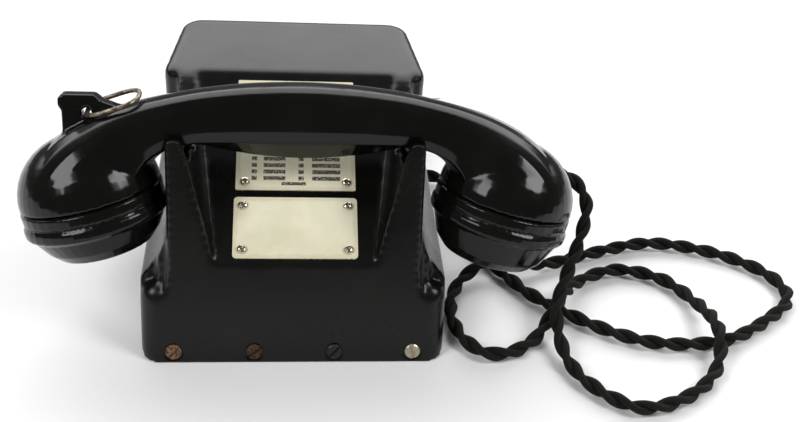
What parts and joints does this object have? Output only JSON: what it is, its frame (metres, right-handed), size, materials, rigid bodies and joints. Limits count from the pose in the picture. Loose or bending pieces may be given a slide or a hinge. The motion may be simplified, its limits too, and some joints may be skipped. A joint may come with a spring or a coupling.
{
  "type": "wall telephone",
  "caption": "Black wall telephone with a hand-cranked magneto, ringer, hook switch and corded handset, lying on its wall plate.",
  "frame": {"origin": "centre of the wall plate's outer face, which lies on the table", "axes": "+X to the right along the handset, -Y towards the leaning front face with the four cover screws, +Z away from the wall plate, up from the table"},
  "size_m": [0.3753, 0.205, 0.1138],
  "materials": {
    "bakelite": "worn satin",
    "bakelite_gloss": "polished",
    "steel": "plain",
    "screw_rusty": "rusted",
    "screw_dark": "rusted",
    "screw_black": "painted over",
    "screw_bright": "zinc",
    "plate_metal": "cream, stained at the edges",
    "nickel": "nickel plate",
    "brass": "plain",
    "magnet_steel": "dark",
    "coil_wire": "varnished",
    "coil_paper": "waxed paper",
    "rubber": "matte",
    "rusty_wire": "rusted",
    "cord_braid": "braided"
  },
  "bodies": {
    "base": {"housing_shell": "bakelite", "wall_plate": "steel", "cover_screw_1": "screw_rusty", "cover_screw_2": "screw_dark", "cover_screw_3": "screw_black", "cover_screw_4": "screw_bright", "rear_screw_1": "screw_dark", "rear_screw_2": "screw_dark", "name_plate": "plate_metal", "spelling_plate": "plate_metal", "name_plate_screw_1": "nickel", "name_plate_screw_2": "nickel", "name_plate_screw_3": "nickel", "name_plate_screw_4": "nickel", "spelling_plate_screw_1": "nickel", "spelling_plate_screw_2": "nickel", "spelling_plate_screw_3": "nickel", "spelling_plate_screw_4": "nickel", "magneto_frame": "brass", "magnet_1": "magnet_steel", "magnet_2": "magnet_steel", "magnet_3": "magnet_steel", "crank_bush": "brass", "gong_left": "nickel", "gong_right": "nickel", "gong_post_left": "steel", "gong_post_right": "steel", "ringer_coil_left": "coil_wire", "ringer_coil_right": "coil_wire", "ringer_yoke": "steel", "clapper_pin": "steel", "induction_coil": "coil_paper", "capacitor": "steel", "terminal_block": "bakelite", "terminal_screw_1": "brass", "terminal_screw_2": "brass", "terminal_screw_3": "brass", "cord_gland": "rubber", "handset_cord": "cord_braid"},
    "crank": {"crank_shaft": "steel", "drive_gear": "brass", "crank_arm": "nickel", "crank_knob_pin": "nickel", "crank_cap_nut": "nickel"},
    "knob": {"crank_knob": "bakelite_gloss"},
    "rotor": {"armature": "magnet_steel", "pinion": "steel"},
    "clapper": {"ringer_clapper": "steel"},
    "hook": {"hook_pin_left": "nickel", "hook_pin_right": "nickel", "hook_bridge": "steel"},
    "handset": {"handset_body": "bakelite_gloss", "earpiece_cap": "bakelite_gloss", "mouthpiece_cap": "bakelite_gloss", "receiver_capsule": "steel", "transmitter_capsule": "steel", "handset_cord_bush": "rubber"},
    "ring": {"hanging_ring": "rusty_wire"}
  },
  "joints": [
    {"name": "crank_turn", "type": "hinge", "parent": "base", "child": "crank", "pos_m": [0, 0.046, 0.054], "axis": [1, 0, 0], "continuous": true},
    {"name": "knob_spin", "type": "hinge", "parent": "crank", "child": "knob", "pos_m": [0.09, 0.07358, 0.03086], "axis": [1, 0, 0], "continuous": true},
    {"name": "armature_spin", "type": "hinge", "parent": "base", "child": "rotor", "pos_m": [0, 0.046, 0.02745], "axis": [1, 0, 0], "continuous": true},
    {"name": "clapper_swing", "type": "hinge", "parent": "base", "child": "clapper", "pos_m": [0, -0.013, 0.014], "axis": [0, 0, 1], "range_deg": [-1.6, 1.6]},
    {"name": "handset_lift", "type": "slide", "parent": "base", "child": "handset", "axis": [0, 0.3173, 0.9483], "range_m": [0, 0.06]},
    {"name": "hook_rise", "type": "slide", "parent": "base", "child": "hook", "axis": [0, 0, 1], "range_m": [0, 0.003]},
    {"name": "ring_swing", "type": "hinge", "parent": "handset", "child": "ring", "pos_m": [-0.0903, -0.02981, 0.09892], "axis": [0, 0.9483, -0.3173], "range_deg": [-150, 0]}
  ],
  "couplings": [
    {"joint": "armature_spin", "follows": "crank_turn", "ratio": -4.5},
    {"joint": "hook_rise", "follows": "handset_lift", "ratio": 0.045}
  ]
}
